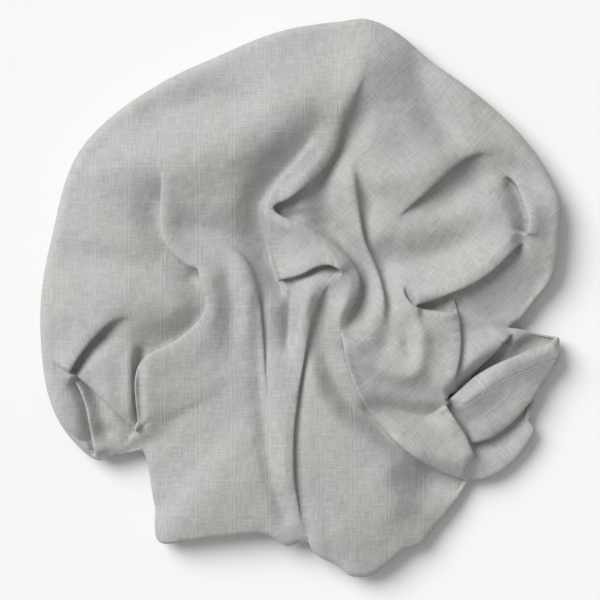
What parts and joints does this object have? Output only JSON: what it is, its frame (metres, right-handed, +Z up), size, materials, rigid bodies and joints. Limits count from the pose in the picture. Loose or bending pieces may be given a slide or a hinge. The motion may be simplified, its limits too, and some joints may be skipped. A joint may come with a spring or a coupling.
{
  "type": "muslin blanket",
  "caption": "Thin square muslin blanket dropped in a round crumpled heap, with soft overlapping folds, rolled rims and a stitched hem.",
  "frame": {"origin": "centre of the bounding box in plan, at the level of the surface the blanket lies on", "axes": "+Z up from the surface; +Y away from the viewer, along the heap's longest reach; +X to the viewer's right"},
  "size_m": [0.5186, 0.5582, 0.0642],
  "materials": {
    "muslin": "matte"
  },
  "bodies": {
    "root": {"blanket": "muslin"}
  },
  "joints": []
}
